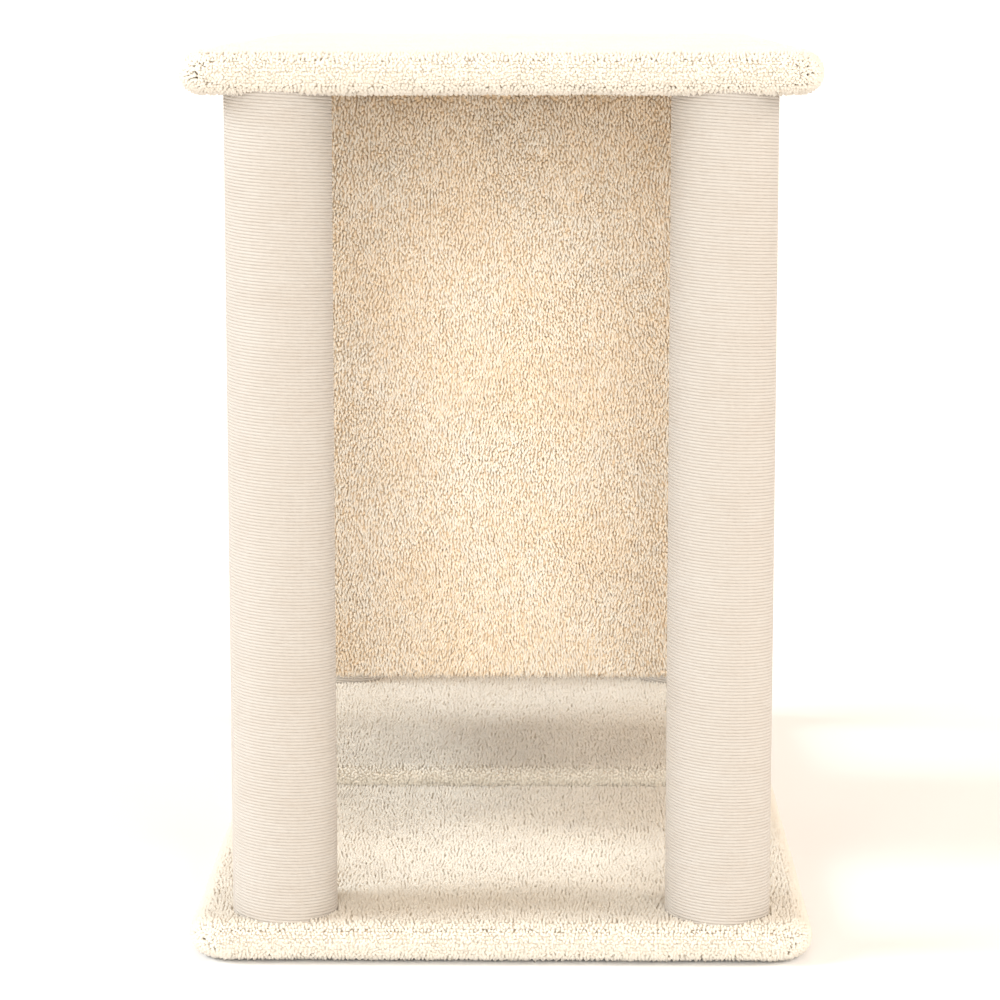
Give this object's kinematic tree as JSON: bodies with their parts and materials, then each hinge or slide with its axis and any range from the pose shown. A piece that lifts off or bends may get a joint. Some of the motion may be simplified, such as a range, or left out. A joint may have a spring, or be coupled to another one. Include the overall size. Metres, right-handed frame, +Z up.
{
  "type": "cat tree",
  "caption": "Low cat tree: plush base and top board held apart by wound posts, a thin step board on the base, and a plush house hung under the top board.",
  "frame": {"origin": "on the floor, under the middle of the base board", "axes": "+Z up; the short end with the bare half of the base faces -Y; +X is to the right seen from that end"},
  "size_m": [0.35, 0.655, 0.503],
  "materials": {
    "plush": "short cut-pile plush",
    "lining": "short-nap fabric",
    "liner": "non-woven sheet",
    "webbing": "fine ribbed winding",
    "board": "bare engineered wood",
    "card_tube": "plain",
    "plug": "moulded",
    "zinc_steel": "zinc plated"
  },
  "bodies": {
    "root": {"base_board": "board", "base_liner": "liner", "base_plush_cover": "plush", "bracket_front_left": "zinc_steel", "bracket_front_left_board_screw": "zinc_steel", "bracket_front_left_wall_screw": "zinc_steel", "bracket_front_right": "zinc_steel", "bracket_front_right_board_screw": "zinc_steel", "bracket_front_right_wall_screw": "zinc_steel", "bracket_rear_left": "zinc_steel", "bracket_rear_left_board_screw": "zinc_steel", "bracket_rear_left_wall_screw": "zinc_steel", "bracket_rear_right": "zinc_steel", "bracket_rear_right_board_screw": "zinc_steel", "bracket_rear_right_wall_screw": "zinc_steel", "front_left_bolt": "zinc_steel", "front_left_bottom_plug": "plug", "front_left_stud": "zinc_steel", "front_left_tee_nut": "zinc_steel", "front_left_top_plug": "plug", "front_left_tube": "card_tube", "front_left_washer": "zinc_steel", "front_left_wrap": "webbing", "front_right_bolt": "zinc_steel", "front_right_bottom_plug": "plug", "front_right_stud": "zinc_steel", "front_right_tee_nut": "zinc_steel", "front_right_top_plug": "plug", "front_right_tube": "card_tube", "front_right_washer": "zinc_steel", "front_right_wrap": "webbing", "house_floor": "board", "house_front_wall": "board", "house_left_wall": "board", "house_lining": "lining", "house_plush_cover": "plush", "house_rear_wall": "board", "house_right_wall": "board", "rear_left_bolt": "zinc_steel", "rear_left_bottom_plug": "plug", "rear_left_stud": "zinc_steel", "rear_left_tee_nut": "zinc_steel", "rear_left_top_plug": "plug", "rear_left_tube": "card_tube", "rear_left_washer": "zinc_steel", "rear_left_wrap": "webbing", "rear_right_bolt": "zinc_steel", "rear_right_bottom_plug": "plug", "rear_right_stud": "zinc_steel", "rear_right_tee_nut": "zinc_steel", "rear_right_top_plug": "plug", "rear_right_tube": "card_tube", "rear_right_washer": "zinc_steel", "rear_right_wrap": "webbing", "step_board": "board", "step_plush_cover": "plush", "top_board": "board", "top_plush_cover": "plush", "top_underside_plush": "plush"}
  },
  "joints": []
}
